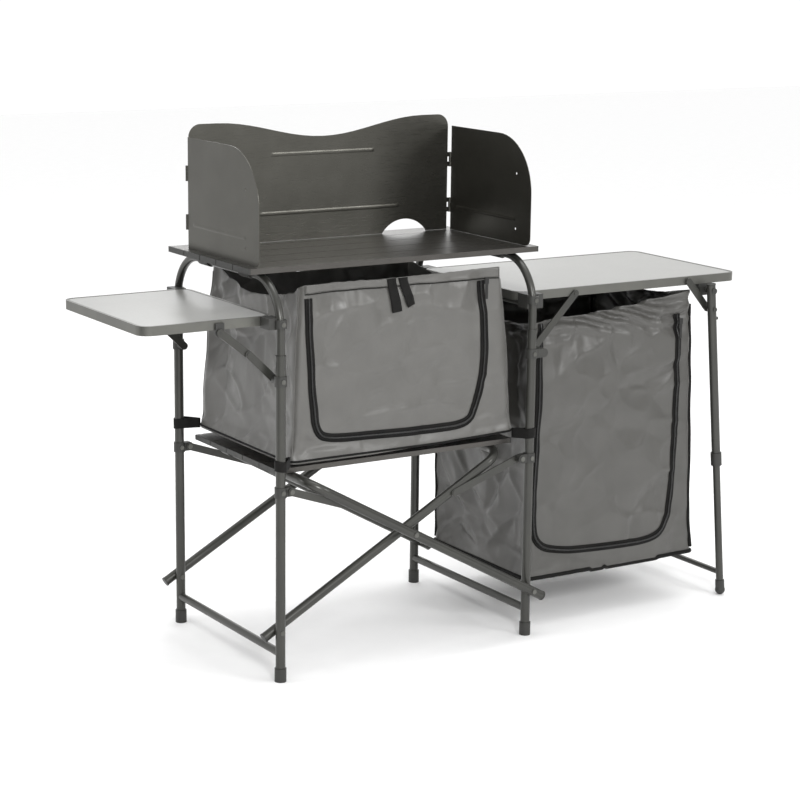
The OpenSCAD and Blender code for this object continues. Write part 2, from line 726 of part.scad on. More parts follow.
// Stays: pinned through the leg, with a stud that runs along the board's edge
module side_leg_stays() {
  k = [side_x + stay_s * sin(side_leg_splay), side_hinge_h - stay_s * cos(side_leg_splay)];
  q = [side_x - stay_dx, stay_h];
  pin_end = side_half + leg_d / 2 + 1;
  stay_in = stay_y - link_t / 2;
  color(steel) placed() for (s = [-1, 1]) mirror([0, s < 0 ? 1 : 0, 0]) {
    translate([0, stay_y, 0]) flat_bar(k, q, strut_w, link_t);
    translate([k[0], (stay_in + pin_end) / 2, k[1]]) rod_y(pin_d - 2 * fit, pin_end - stay_in);
    translate([k[0], pin_end + head_t / 2, k[1]]) rod_y(pin_d + 4, head_t);
    translate([q[0], stay_in - 0.5, q[1]]) rod_y(5, 1 + link_t / 2);
  }
}
module lock_buttons() {
  color(plastic) placed() for (s = [-1, 1]) along_leg(s) translate([0, 0, button_s])
    rotate([0, -90, 0]) {
      translate([0, 0, hoop_d / 2 - 2]) cylinder(d = button_d, h = 8);
      translate([0, 0, hoop_d / 2 - 4.4]) cylinder(d = button_d + 2, h = 2.6);
    }
}
// Collars that join the upper and lower leg tubes
module side_leg_collars() {
  color(plastic) placed() for (s = [-1, 1]) along_leg(s) translate([0, 0, collar_s]) difference() {
    translate([0, 0, -14]) cylinder(d = leg_d + 5, h = 28);
    translate([0, 0, -15]) cylinder(d = leg_d + 2 * fit, h = 15 + fit);
    cylinder(d = hoop_d + 2 * fit, h = 40, center = true);
  }
}
module side_leg_lowers() {
  color(steel) placed() for (s = [-1, 1]) along_leg(s)
    translate([0, 0, collar_s - 72]) tube(hoop_d, side_leg_len - collar_s + 69);
}
module side_leg_crossbar() {
  color(steel) placed() difference() {
    translate([side_x, -side_half, side_hinge_h]) rotate([0, 180 - side_leg_splay, 0])
      translate([0, 0, bar_s]) rotate([-90, 0, 0]) tube(12, 2 * side_half);
    for (s = [-1, 1]) along_leg(s) translate([0, 0, bar_s - 20])
      cylinder(d = hoop_d + 2 * fit, h = 40);
  }
}
module side_leg_feet() {
  color(plastic) placed() for (s = [-1, 1]) along_leg(s) translate([0, 0, side_leg_len])
    difference() {
      union() {
        sphere(r = foot_r);
        translate([0, 0, -22]) cylinder(d = hoop_d + 4, h = 22);
      }
      translate([0, 0, -23]) cylinder(d = hoop_d + 2 * fit, h = 20 + fit);
    }
}

// ---- bags ----

module shelf_bag() {
  color(fabric) placed() hull() {
    translate([0, 0, shelf_h + gap]) plate(bag_l, bag_w, 1, 25, $fn = 32);
    translate([0, 0, bag_top_h - 1]) plate(bag_top_l, bag_top_w, 1, 20, $fn = 32);
  }
}
// Tie straps that hang down the bag's front
module bag_ties() {
  color(webbing) placed() for (x = [-30, -4])
    translate([x, -bag_top_w / 2 - 6.5, bag_top_h - 70]) cube([20, 2, 70]);
}
// Webbing loops around the legs with a tail to the bag's corner
module bag_straps(side) {
  z = 427;
  corner = [half_x - bag_l / 2 + 25, half_y - bag_w / 2 + 25];
  reach = norm(corner) - 25 - 2;
  a = atan2(corner[1], corner[0]);
  for (s = [-1, 1]) translate([side * half_x, s * half_y, z]) mirror([side < 0 ? 1 : 0, 0, 0])
    mirror([0, s < 0 ? 1 : 0, 0]) {
      ring(leg_d, 22, 1.5);
      rotate([0, 0, 180 + a]) translate([leg_d / 2 + 0.8, -1, -10])
        cube([reach - leg_d / 2 - 0.8, 2, 20]);
    }
}
module bag_straps_left() { color(webbing) placed() bag_straps(-1); }
module bag_straps_right() { color(webbing) placed() bag_straps(1); }

// Zip slider with its pull hanging down the front
module slider(x, y, z) {
  placed() translate([x, y, z]) {
    translate([-4.5, -3.5, 0]) cube([9, 3.5, 13]);
    translate([-3, -3.5, -30]) cube([6, 1.5, 31]);
  }
}
module shelf_bag_slider() { color(webbing) slider(185, -bag_w / 2 + 0.5, 738); }

module cupboard_bag() {
  x_in = half_x + 24;
  top = board_h - board_t - 3;
  color(fabric) placed() hull() {
    translate([x_in + cupboard_l / 2, 0, cupboard_bottom_h])
      plate(cupboard_l, cupboard_w, 1, 12, $fn = 32);
    translate([x_in + cupboard_l / 2 - 14, 0, top - 1])
      plate(cupboard_l - 28, cupboard_w, 1, 12, $fn = 32);
  }
}
module cupboard_bag_slider() { color(webbing) slider(half_x + 404, -cupboard_w / 2 - 7.5, 612); }

hoop_left();
hoop_right();
legs_left();
legs_right();
foot_caps_left();
foot_caps_right();
bottom_rail_left();
bottom_rail_right();
leg_rivets_left();
leg_rivets_right();
scissor_frame_a();
scissor_frame_b();
arm_caps_a();
arm_caps_b();
scissor_pins();
lower_pins_left();
strut_saddles_left();
strut_saddles_right();
struts_left();
struts_right();
worktop_slats();
worktop_end_caps();
worktop_clips_left();
worktop_clips_right();
shelf_slats();
shelf_end_caps();
shelf_clips();
windshield_back();
windshield_wing_left();
windshield_wing_right();
windshield_pins();
board_blocks_left();
board_blocks_right();
left_board_top();
left_board_edge();
left_board_clevises();
brace_saddles_left();
brace_upper_links();
brace_lower_links();
right_board_top();
right_board_edge();
board_rod();
prop_saddles_right();
right_props();
side_leg_brackets();
side_leg_uppers();
side_leg_caps();
lock_buttons();
side_leg_stays();
side_leg_collars();
side_leg_lowers();
side_leg_crossbar();
side_leg_feet();
shelf_bag();
bag_ties();
bag_straps_left();
bag_straps_right();
shelf_bag_slider();
cupboard_bag();
cupboard_bag_slider();
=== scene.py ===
"""Looks of a folding camp kitchen: camera, light, finishes, sewn bags and trim.

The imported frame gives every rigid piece. This script adds the sewn bags with
their zips, hems and straps, the stamped beads of the windshield and small trim.
Lengths are metres, +Z up, the kitchen's front at -Y.
"""

import json
import logging
import math
import random
from dataclasses import dataclass
from enum import Enum
from typing import Callable, Sequence

import bmesh
import bpy
from mathutils import Matrix, Vector, noise
from mathutils.bvhtree import BVHTree


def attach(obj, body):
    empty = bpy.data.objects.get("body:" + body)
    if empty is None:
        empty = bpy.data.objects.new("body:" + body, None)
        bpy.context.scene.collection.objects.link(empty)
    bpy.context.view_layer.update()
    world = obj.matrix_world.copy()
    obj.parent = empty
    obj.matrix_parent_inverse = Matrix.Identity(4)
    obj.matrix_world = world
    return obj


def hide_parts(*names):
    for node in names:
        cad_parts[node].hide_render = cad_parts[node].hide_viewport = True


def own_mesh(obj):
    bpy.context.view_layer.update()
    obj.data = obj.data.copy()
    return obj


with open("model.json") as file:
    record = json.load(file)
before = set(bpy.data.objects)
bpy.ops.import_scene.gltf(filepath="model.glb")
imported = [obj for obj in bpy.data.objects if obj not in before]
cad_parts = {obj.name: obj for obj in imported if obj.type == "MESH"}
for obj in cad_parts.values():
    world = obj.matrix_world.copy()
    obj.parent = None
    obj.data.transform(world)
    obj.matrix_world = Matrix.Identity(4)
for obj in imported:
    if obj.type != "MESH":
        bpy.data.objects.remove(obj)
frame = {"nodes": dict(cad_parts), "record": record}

logging.basicConfig(level=logging.INFO, format="%(message)s")
log = logging.getLogger("kitchen")

MM = 0.001
MID = 0.1465  # the leg frame's middle lies this far to -X of the origin
LEG_X, LEG_Y = 288.0, 214.0  # the main legs' middles, in millimetres
Point = tuple[float, float, float]


def at(x: float, y: float, z: float) -> Vector:
    """Turns millimetres from the leg frame's middle into a place in the frame.

    Args:
        x: Millimetres to the right of the middle between the main legs.
        y: Millimetres to the rear.
        z: Millimetres above the floor.

    Returns:
        The place in metres.
    """
    return Vector((x * MM - MID, y * MM, z * MM))


# ---------------------------------------------------------------- finishes


class Surface(Enum):
    """How a finish's surface is built."""

    POWDER = "powder"
    PLASTIC = "plastic"
    ANODISED = "anodised"
    LAMINATE = "laminate"
    FABRIC = "fabric"
    WEBBING = "webbing"
    STEEL = "steel"
    FLOOR = "floor"


@dataclass(frozen=True)
class Finish:
    """One real finish.

    Attributes:
        name: Material name.
        surface: How its surface is built.
        colour: sRGB hex colour.
        shade: Second sRGB hex colour that the first is mottled with.
        roughness: Mean roughness.
        metallic: Metallic share.
        grain_mm: Size of the finest grain in millimetres.
        bump: Bump strength.
        coat: Clear coat weight.
        sheen: Sheen weight.
    """

    name: str
    surface: Surface
    colour: str
    shade: str
    roughness: float
    metallic: float = 0.0
    grain_mm: float = 1.0
    bump: float = 0.1
    coat: float = 0.0
    sheen: float = 0.0


TUBE = Finish("powder_coated_steel", Surface.POWDER, "#373734", "#3d3d39", 0.3, 0.4, 0.7, 0.08, 0.12)
RIVET = Finish("plated_rivet_steel", Surface.STEEL, "#6b6b67", "#5a5a56", 0.32, 0.9, 0.5, 0.05)
PLASTIC = Finish("moulded_black_plastic", Surface.PLASTIC, "#262624", "#2d2d2a", 0.5, 0.0, 0.35, 0.12)
SLAT = Finish("anodised_anthracite_slat", Surface.ANODISED, "#504e4b", "#565451", 0.3, 0.8, 0.5, 0.05)
SHIELD = Finish("anodised_windshield_sheet", Surface.ANODISED, "#4f4e49", "#55544f", 0.31, 0.9, 0.6, 0.04)
EDGE = Finish("dark_edge_aluminium", Surface.ANODISED, "#5e5e5a", "#656560", 0.36, 0.6, 0.5, 0.05)
BOARD = Finish("grey_melamine_laminate", Surface.LAMINATE, "#8b8b88", "#888885", 0.3, 0.0, 3.0, 0.004)
CLOTH = Finish("coated_polyester_grey", Surface.FABRIC, "#575653", "#504f4c",
               0.36, 0.0, 0.55, 0.22, 0.3, 0.05)
# Painted shade: the same grey coated polyester as CLOTH, darkened so the cupboard bag looks less lit.
CLOTH_PAINTED_SHADE = Finish("coated_polyester_grey_painted_shade", Surface.FABRIC, "#474643", "#41403d",
                    0.38, 0.0, 0.55, 0.22, 0.28, 0.05)
LINING = Finish("coated_polyester_inside", Surface.FABRIC, "#2c2b29", "#262524", 0.7, 0.0, 0.55, 0.1)
STRAP = Finish("black_webbing", Surface.WEBBING, "#0f0f0e", "#161514", 0.7, 0.0, 1.6, 0.35, 0.0, 0.04)
TAPE = Finish("zip_tape_black", Surface.WEBBING, "#0c0c0b", "#121110", 0.65, 0.0, 1.1, 0.3, 0.0, 0.03)
TEETH = Finish("zip_coil_black", Surface.PLASTIC, "#0e0e0d", "#141413", 0.35, 0.0, 0.4, 0.1)
ENAMEL = Finish("black_enamel_slider", Surface.POWDER, "#171716", "#1f1f1e", 0.3, 0.4, 0.5, 0.03, 0.3)
FLOOR = Finish("pale_floor", Surface.FLOOR, "#f7f7f7", "#f5f5f5", 0.75, 0.0, 3.0, 0.0)

NODE_FINISH: dict[str, Finish] = {
    "powder_coated_steel": TUBE,
    "rivet_steel": RIVET,
    "black_plastic": PLASTIC,
    "anodised_aluminium": SLAT,
    "edge_aluminium": EDGE,
    "grey_laminate": BOARD,
    "coated_fabric": CLOTH,
    "webbing": STRAP,
    "zip_metal": ENAMEL,
}


def ease(share: float) -> float:
    """Smooth step from 0 to 1.

    Args:
        share: Share of the way, clamped.

    Returns:
        The eased share.
    """
    v = min(1.0, max(0.0, share))
    return v * v * (3 - 2 * v)


def linear(colour: str) -> tuple[float, float, float, float]:
    """Turns an sRGB hex colour linear.

    Args:
        colour: Hex colour such as "#4a4a47".

    Returns:
        Linear red, green, blue and alpha.
    """
    parts = [int(colour[i : i + 2], 16) / 255 for i in (1, 3, 5)]
    r, g, b = [c / 12.92 if c <= 0.04045 else ((c + 0.055) / 1.055) ** 2.4 for c in parts]
    return (r, g, b, 1.0)


class Shader:
    """Small builder around one material's node tree."""

    def __init__(self, name: str) -> None:
        """Makes an empty material.

        Args:
            name: Material name.
        """
        self.material = bpy.data.materials.new(name)
        self.material.use_nodes = True
        self.tree = self.material.node_tree
        self.tree.nodes.clear()
        self.out = self.node("ShaderNodeOutputMaterial")
        self.body = self.node("ShaderNodeBsdfPrincipled")
        self.tree.links.new(self.body.outputs[0], self.out.inputs[0])
        self.coords = self.node("ShaderNodeTexCoord").outputs["Object"]

    def node(self, kind: str, inputs: dict | None = None, **settings: object) -> bpy.types.Node:
        """Adds one node.

        Args:
            kind: Blender's node type.
            inputs: Socket name or number to a value or to an output to link from.
            **settings: Node properties.

        Returns:
            The new node.
        """
        made = self.tree.nodes.new(kind)
        for key, value in settings.items():
            setattr(made, key, value)
        for key, value in (inputs or {}).items():
            if isinstance(value, bpy.types.NodeSocket):
                self.tree.links.new(value, made.inputs[key])
            else:
                made.inputs[key].default_value = value
        return made

    def set(self, **values: object) -> None:
        """Sets or links the shader's own sockets, with _ for a space.

        Args:
            **values: Socket name to a value or to an output.
        """
        for key, value in values.items():
            socket = self.body.inputs[key.replace("_", " ")]
            if isinstance(value, bpy.types.NodeSocket):
                self.tree.links.new(value, socket)
            else:
                socket.default_value = value

    def noise(
        self, size_mm: float, detail: float = 2.0, stretch: Point = (1, 1, 1)
    ) -> bpy.types.NodeSocket:
        """Adds noise of a real size.

        Args:
            size_mm: Size of its spots.
            detail: Octaves.
            stretch: Factor per axis.

        Returns:
            The noise's value.
        """
        spread = self.node("ShaderNodeMapping", {"Vector": self.coords, "Scale": stretch})
        inputs = {"Vector": spread.outputs[0], "Scale": 1 / MM / size_mm, "Detail": detail}
        return self.node("ShaderNodeTexNoise", inputs).outputs[0]

    def ramp(
        self, value: bpy.types.NodeSocket, low: float, high: float, frm: float = 0.3, to: float = 0.7
    ) -> bpy.types.NodeSocket:
        """Maps a value into a range.

        Args:
            value: Value to map.
            low: Result at frm.
            high: Result at to.
            frm: Value that gives low.
            to: Value that gives high.

        Returns:
            The mapped value.
        """
        inputs = {"Value": value, "From Min": frm, "From Max": to, "To Min": low, "To Max": high}
        return self.node("ShaderNodeMapRange", inputs).outputs[0]

    def blend(self, factor: bpy.types.NodeSocket, a: str, b: str) -> bpy.types.NodeSocket:
        """Mixes two colours.

        Args:
            factor: Share of b.
            a: First sRGB hex colour.
            b: Second sRGB hex colour.

        Returns:
            The mixed colour.
        """
        node = self.node("ShaderNodeMix", data_type="RGBA")
        node.inputs[6].default_value = linear(a)
        node.inputs[7].default_value = linear(b)
        self.tree.links.new(factor, node.inputs[0])
        return node.outputs[2]

    def bump(self, height: bpy.types.NodeSocket, strength: float, depth_mm: float) -> None:
        """Adds bump from a height.

        Args:
            height: Height pattern.
            strength: Bump strength.
            depth_mm: Depth in millimetres.
        """
        inputs = {"Height": height, "Strength": strength, "Distance": depth_mm * MM}
        self.set(Normal=self.node("ShaderNodeBump", inputs).outputs[0])


def weave(shader: Shader, pitch_mm: float) -> bpy.types.NodeSocket:
    """Crossed threads of a cloth.

    Args:
        shader: Shader to build in.
        pitch_mm: Distance between threads.

    Returns:
        Height of the weave.
    """
    bands_per_scale = 20 / 3.14159
    inputs = {
        "Vector": shader.coords,
        "Scale": 1 / MM / pitch_mm / bands_per_scale,
        "Distortion": 0.6,
        "Detail": 1.0,
        "Detail Scale": 2.0,
    }
    heights = []
    for axis in ("X", "Y", "Z"):
        wave = shader.node("ShaderNodeTexWave", inputs, wave_type="BANDS", bands_direction=axis)
        heights.append(wave.outputs[1])
    first = shader.node("ShaderNodeMath", {0: heights[0], 1: heights[1]}, operation="MAXIMUM")
    both = shader.node("ShaderNodeMath", {0: first.outputs[0], 1: heights[2]}, operation="MULTIPLY")
    return both.outputs[0]


def make_material(finish: Finish) -> bpy.types.Material:
    """Builds a finish's procedural material.

    Args:
        finish: The finish.

    Returns:
        The material.
    """
    s = Shader(finish.name)
    cloud = s.noise(60.0, 3.0)
    grain = s.noise(finish.grain_mm, 2.0)
    s.set(Base_Color=s.blend(s.ramp(cloud, 0.0, 1.0), finish.colour, finish.shade))
    s.set(Metallic=finish.metallic, Coat_Weight=finish.coat, Coat_Roughness=0.2)
    if finish.surface is Surface.ANODISED:
        brushed = s.noise(finish.grain_mm, 2.0, (0.02, 1.0, 1.0))
        s.set(Roughness=s.ramp(brushed, finish.roughness - 0.05, finish.roughness + 0.08))
        s.bump(brushed, finish.bump, 0.05)
    elif finish.surface in (Surface.FABRIC, Surface.WEBBING):
        threads = weave(s, finish.grain_mm)
        s.set(Roughness=s.ramp(s.noise(25.0), finish.roughness - 0.08, finish.roughness + 0.08))
        s.set(Sheen_Weight=finish.sheen, Sheen_Roughness=0.4)
        if finish.surface is Surface.WEBBING:
            s.set(Specular_IOR_Level=0.15)
        s.set(Coat_Weight=finish.coat, Coat_Roughness=0.3)
        wrinkle = s.noise(14.0, 4.0, (1.0, 1.0, 0.6))
        mixed = s.node("ShaderNodeMath", {0: wrinkle, 1: 3.0, 2: threads}, operation="MULTIPLY_ADD")
        s.bump(mixed.outputs[0], finish.bump, 0.35)
    elif finish.surface is Surface.FLOOR:
        s.set(Roughness=finish.roughness, Specular_IOR_Level=0.1)
    else:
        wide = 0.04 if finish.surface is Surface.PLASTIC else 0.01
        s.set(Roughness=s.ramp(s.noise(9.0), finish.roughness - wide, finish.roughness + wide))
        s.bump(grain, finish.bump, 0.08)
    return s.material


class Palette:
    """Makes each finish's material once."""

    def __init__(self) -> None:
        """Starts empty."""
        self.made: dict[str, bpy.types.Material] = {}

    def __call__(self, finish: Finish) -> bpy.types.Material:
        """Returns the finish's material.

        Args:
            finish: The finish.

        Returns:
            The material.
        """
        if finish.name not in self.made:
            self.made[finish.name] = make_material(finish)
        return self.made[finish.name]


palette = Palette()


# ---------------------------------------------------------------- mesh helpers


def only(obj: bpy.types.Object) -> None:
    """Makes an object the only selected and the active one.

    Args:
        obj: The object.
    """
    bpy.ops.object.select_all(action="DESELECT")
    obj.select_set(True)
    bpy.context.view_layer.objects.active = obj


def apply_modifier(obj: bpy.types.Object, kind: str, **settings: object) -> None:
    """Adds a modifier and applies it.

    Args:
        obj: The object.
        kind: Blender's modifier type.
        **settings: Modifier properties.
    """
    only(obj)
    mod = obj.modifiers.new(kind.lower(), kind)
    for key, value in settings.items():
        setattr(mod, key, value)
    bpy.ops.object.modifier_apply(modifier=mod.name)


def grid(
    name: str, columns: int, rows: int, place: Callable[[int, int], Vector], closed: bool = False
) -> bpy.types.Object:
    """Makes a quad sheet whose points are placed one by one.

    Args:
        name: Object name.
        columns: Points along the sheet.
        rows: Points across it.
        place: Gives the place of column i and row j.
        closed: Whether the last column joins the first.

    Returns:
        The sheet.
    """
    mesh = bpy.data.meshes.new(name)
    bm = bmesh.new()
    points = [[bm.verts.new(place(i, j)) for j in range(rows)] for i in range(columns)]
    for i in range(columns if closed else columns - 1):
        nxt = (i + 1) % columns
        for j in range(rows - 1):
            bm.faces.new((points[i][j], points[nxt][j], points[nxt][j + 1], points[i][j + 1]))
    bm.to_mesh(mesh)
    bm.free()
    obj = bpy.data.objects.new(name, mesh)
    bpy.context.collection.objects.link(obj)
    return obj


def cord_mesh(
    name: str, path: Sequence[Vector], radius: float, closed: bool = False, sides: int = 10
) -> bpy.types.Object:
    """Sweeps a round section along a path.

    Args:
        name: Object name.
        path: Points of the path.
        radius: Section radius.
        closed: Whether the path is a loop.
        sides: Points around the section.

    Returns:
        The swept piece.
    """
    curve = bpy.data.curves.new(name, "CURVE")
    curve.dimensions = "3D"
    curve.bevel_depth = radius
    curve.bevel_resolution = max(1, sides // 4)
    curve.use_fill_caps = True
    spline = curve.splines.new("POLY")
    spline.points.add(len(path) - 1)
    for point, place in zip(spline.points, path):
        point.co = (*place, 1.0)
    spline.use_cyclic_u = closed
    obj = bpy.data.objects.new(name, curve)
    bpy.context.collection.objects.link(obj)
    only(obj)
    bpy.ops.object.convert(target="MESH")
    made = bpy.context.view_layer.objects.active
    bpy.ops.object.shade_smooth()
    return made


def along(points: Sequence[Vector], step: float) -> list[Vector]:
    """Resamples a polyline after rounding it.

    Args:
        points: Corner points.
        step: Distance between the new points.

    Returns:
        Points along a smooth line through the corners.
    """
    rounded = list(points)
    for _ in range(3):
        nxt = [rounded[0]]
        for a, b in zip(rounded, rounded[1:]):
            nxt += [a.lerp(b, 0.25), a.lerp(b, 0.75)]
        rounded = nxt + [rounded[-1]]
    out = [rounded[0]]
    carry = 0.0
    for a, b in zip(rounded, rounded[1:]):
        length = (b - a).length
        d = step - carry
        while d < length:
            out.append(a.lerp(b, d / length))
            d += step
        carry = length - (d - step)
    return out + [rounded[-1]]


def finish_piece(obj: bpy.types.Object, finish: Finish, body: str) -> bpy.types.Object:
    """Gives a piece its finish and body, and logs it.

    Args:
        obj: The piece.
        finish: Its finish.
        body: Name of the body it rides on.

    Returns:
        The piece.
    """
    obj.data.materials.clear()
    obj.data.materials.append(palette(finish))
    only(obj)
    bpy.ops.object.shade_smooth()
    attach(obj, body)
    log.info("%s: %d faces on %s", obj.name, len(obj.data.polygons), body)
    return obj


# ---------------------------------------------------------------- sewn bags


@dataclass
class BagShape:
    """Shell of a sewn bag, in millimetres from the leg frame's middle.

    Attributes:
        name: Bag's name.
        bottom: Lowest X, lowest Y, highest X, highest Y at the bottom.
        top: The same at the hem.
        z0: Height of the bottom.
        z1: Height of the hem.
        corner: Corner radius.
        node: CAD node it stands for.
        joint: Joint that folds it; not used.
        keep: Share of its height left when folded; not used.
        sag: Hem's sag between its corners, per side front, right, rear, left.
        seed: Seed of its creases.
        corner_drop: How far the hem's left and right corners hang.
        rise: How far the straps pull the right end of the floor up.
        bulge: How far the cloth may swell beyond its outline.
        crease: Depth of the creases.
        swell: X range over which front and rear swell, its depth, and the height it ends at.
        gather: Depth of the level folds below the hem, as a share of the creases.
        finish: Finish of the cloth.
    """

    name: str
    bottom: tuple[float, float, float, float]
    top: tuple[float, float, float, float]
    z0: float
    z1: float
    corner: float
    node: str
    joint: str
    keep: float
    sag: tuple[float, float, float, float]
    seed: int
    corner_drop: tuple[float, float] = (0.0, 0.0)
    rise: float = 0.0
    bulge: float = 3.5
    crease: float = 4.0
    swell: tuple[float, float, float, float] | None = None
    gather: float = 0.0
    finish: Finish = CLOTH


SHELF_BAG = BagShape(
    name="shelf_bag_shell",
    bottom=(-257, -195, 266, 195),
    top=(-232, -189, 236, 189),
    z0=420.5,
    z1=769,
    corner=20,
    node="shelf_bag",
    joint="frame_fold",
    keep=0.24,
    sag=(4, 52, 40, 40),
    seed=4,
    corner_drop=(5.0, 0.0),
    rise=11.0,
    bulge=3.5,
    crease=7.0,
)
CUPBOARD_BAG = BagShape(
    name="cupboard_bag_shell",
    bottom=(314, -177, 757, 177),
    top=(316, -177, 729, 177),
    z0=99.5,
    z1=689,
    corner=12,
    node="cupboard_bag",
    joint="side_leg_fold",
    keep=0.12,
    sag=(8, 22, 12, 16),
    seed=9,
    corner_drop=(46.0, 6.0),
    bulge=5.5,
    crease=9.0,
    swell=(315, 712, 4.0, 672),
    gather=0.4,
    # Painted shade: this bag's cloth is the darker copy of the shelf bag's cloth.
    finish=CLOTH_PAINTED_SHADE,
)


class Bag:
    """A sewn bag: a lofted shell that sags, with a floor and an open top."""

    COLUMNS = 200

    def __init__(self, shape: BagShape, rows: int) -> None:
        """Builds and drapes the shell.

        Args:
            shape: The bag's shape.
            rows: Points from floor to hem.
        """
        self.shape = shape
        self.rows = rows
        self.random = random.Random(shape.seed)
        self.shell = grid(shape.name, self.COLUMNS, rows, self.place, closed=True)
        self.drape()
        self.close_floor()
        self.tree = BVHTree.FromObject(self.shell, bpy.context.evaluated_depsgraph_get())
        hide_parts(shape.node)
        self.fold(self.shell)

    @property
    def middle(self) -> float:
        """X of the bag's middle, in millimetres."""
        return (self.shape.bottom[0] + self.shape.bottom[2]) / 2

    def edges(self, t: float) -> list[float]:
        """The bag's four sides at a height.

        Args:
            t: Share of the height.

        Returns:
            Lowest X, lowest Y, highest X and highest Y in millimetres.
        """
        return [a + (b - a) * t for a, b in zip(self.shape.bottom, self.shape.top)]

    def outline(self, share: float, t: float) -> Vector:
        """A place on the shell before it sags.

        Args:
            share: Share of the way around, from the front's middle to the right.
            t: Share of the height.

        Returns:
            The place.
        """
        s = self.shape
        x0, y0, x1, y1 = self.edges(t)
        r = s.corner
        w, d = x1 - x0 - 2 * r, y1 - y0 - 2 * r
        arc = math.pi * r / 2
        total = 2 * (w + d) + 4 * arc
        u = (share % 1.0) * total
        parts = [
            (w / 2, lambda v: ((x0 + x1) / 2 + v, y0)),
            (arc, lambda v: (x1 - r + r * math.sin(v / r), y0 + r - r * math.cos(v / r))),
            (d, lambda v: (x1, y0 + r + v)),
            (arc, lambda v: (x1 - r + r * math.cos(v / r), y1 - r + r * math.sin(v / r))),
            (w, lambda v: (x1 - r - v, y1)),
            (arc, lambda v: (x0 + r - r * math.sin(v / r), y1 - r + r * math.cos(v / r))),
            (d, lambda v: (x0, y1 - r - v)),
            (arc, lambda v: (x0 + r - r * math.cos(v / r), y0 + r - r * math.sin(v / r))),
            (w / 2 + 1, lambda v: (x0 + r + v, y0)),
        ]
        for length, where in parts:
            if u <= length:
                x, y = where(u)
                return at(x, y, s.z0 + (s.z1 - s.z0) * t)
            u -= length
        return at((x0 + x1) / 2, y0, s.z0 + (s.z1 - s.z0) * t)

    def place(self, i: int, j: int) -> Vector:
        """Start place of a point of the shell.

        Args:
            i: Column.
            j: Row.

        Returns:
            The place.
        """
        t = j / (self.rows - 1)
        return self.outline(i / self.COLUMNS, t)

    def hem_drop(self, place: Vector) -> float:
        """How far the hem sags at a place.

        Args:
            place: A place on the hem.

        Returns:
            Metres of sag.
        """
        s = self.shape
        x0, y0, x1, y1 = s.top
        x, y = (place.x + MID) / MM, place.y / MM
        fx = max(0.0, 1 - abs(2 * (x - x0) / (x1 - x0) - 1) ** 2)
        fy = max(0.0, 1 - abs(2 * (y - y0) / (y1 - y0) - 1) ** 2)
        front, right, rear, left = s.sag
        near = {
            "front": (abs(y - y0), front * fx),
            "right": (abs(x - x1), right * fy),
            "rear": (abs(y - y1), rear * fx),
            "left": (abs(x - x0), left * fy),
        }
        low, high = s.corner_drop
        share = min(1.0, max(0.0, (x - x0) / (x1 - x0)))
        return (min(near.values())[1] + low + (high - low) * share) * MM

    def drape(self) -> None:
        """Lets the cloth sag between the hem and the floor."""
        s = self.shape
        mesh = self.shell.data
        rows = self.rows
        height = (s.z1 - s.z0) * MM
        for k, v in enumerate(mesh.vertices):
            j = k % rows
            t = j / (rows - 1)
            v.co.z -= self.hem_drop(v.co) * max(0.0, (t - 0.55) / 0.45) ** 1.5
            share = ((v.co.x + MID) / MM - s.bottom[0]) / (s.bottom[2] - s.bottom[0])
            v.co.z += s.rise * MM * max(0.0, share - 0.35) / 0.65 * max(0.0, 1 - t / 0.5)
        self.simulate(height)
        apply_modifier(self.shell, "SUBSURF", levels=1)
        self.crease()
        for v in mesh.vertices:
            x, y, z = (v.co.x + MID) / MM, v.co.y / MM, v.co.z / MM
            v.co.y += math.copysign(self.swelling(x, z) * ease((abs(y) - 110) / 60) * MM, y)
        self.keep_inside()

    def from_seam(self, place: Vector, t: float) -> float:
        """Distance of a place from the nearest upright seam.

        Args:
            place: A place on the cloth.
            t: Share of the height.

        Returns:
            Millimetres.
        """
        x0, y0, x1, y1 = self.edges(t)
        x, y = (place.x + MID) / MM, place.y / MM
        return math.hypot(min(abs(x - x0), abs(x - x1)), min(abs(y - y0), abs(y - y1)))

    def crease(self) -> None:
        """Presses soft dents and sharper folds into the cloth."""
        s = self.shape
        mesh = self.shell.data
        shift = Vector((s.seed * 3.1, s.seed * 1.7, s.seed * 0.9))
        moves = []
        for v in mesh.vertices:
            t = min(1.0, max(0.0, (v.co.z / MM - s.z0) / (s.z1 - s.z0)))
            side = abs(v.normal.x) > 0.6
            mask = min(1.0, t / 0.08) * min(1.0, (1.02 - t) / 0.05)
            loose = 1.0 + 1.1 * max(0.0, (t - 0.7) / 0.3) + (0.7 if side else 0.0)
            p = v.co + shift
            soft = noise.noise(Vector((p.x * 5.0 - p.z * 2.0, p.y * 6.0, p.z * 6.0 + p.x * 2.5)))
            slant = Vector((p.x * 4 + p.z * 6, p.y * 7 + p.z * 5, p.z * 5 - p.x * 4))
            fold = (1 - abs(noise.noise(slant))) ** 9
            cross = Vector((p.x * 8 - p.z * 5, p.y * 9 - p.z * 7, p.z * 7 + p.x * 6))
            second = (1 - abs(noise.noise(cross))) ** 12
            spot = Vector((p.x * 5.5 + p.z * 3.0, p.y * 6.5, p.z * 6.5 - p.x * 2.5 + 0.6 * soft))
            cells = noise.voronoi(spot)[0]
            hold = 0.2 + 0.8 * ease(self.from_seam(v.co, t) / 55)
            dents = min(0.5, cells[1] - cells[0])
            level = (v.co.z + 0.06 * soft + 0.1 * p.x) / MM
            gather = math.sin(level / 4.6) * ease((t - 0.83) / 0.08)
            height = 0.7 * soft + 0.35 * fold + 0.25 * second + 1.6 * dents - 0.95 + s.gather * gather
            moves.append(v.normal * (s.crease * MM * mask * hold * loose * height))
        for v, move in zip(mesh.vertices, moves):
            v.co += move

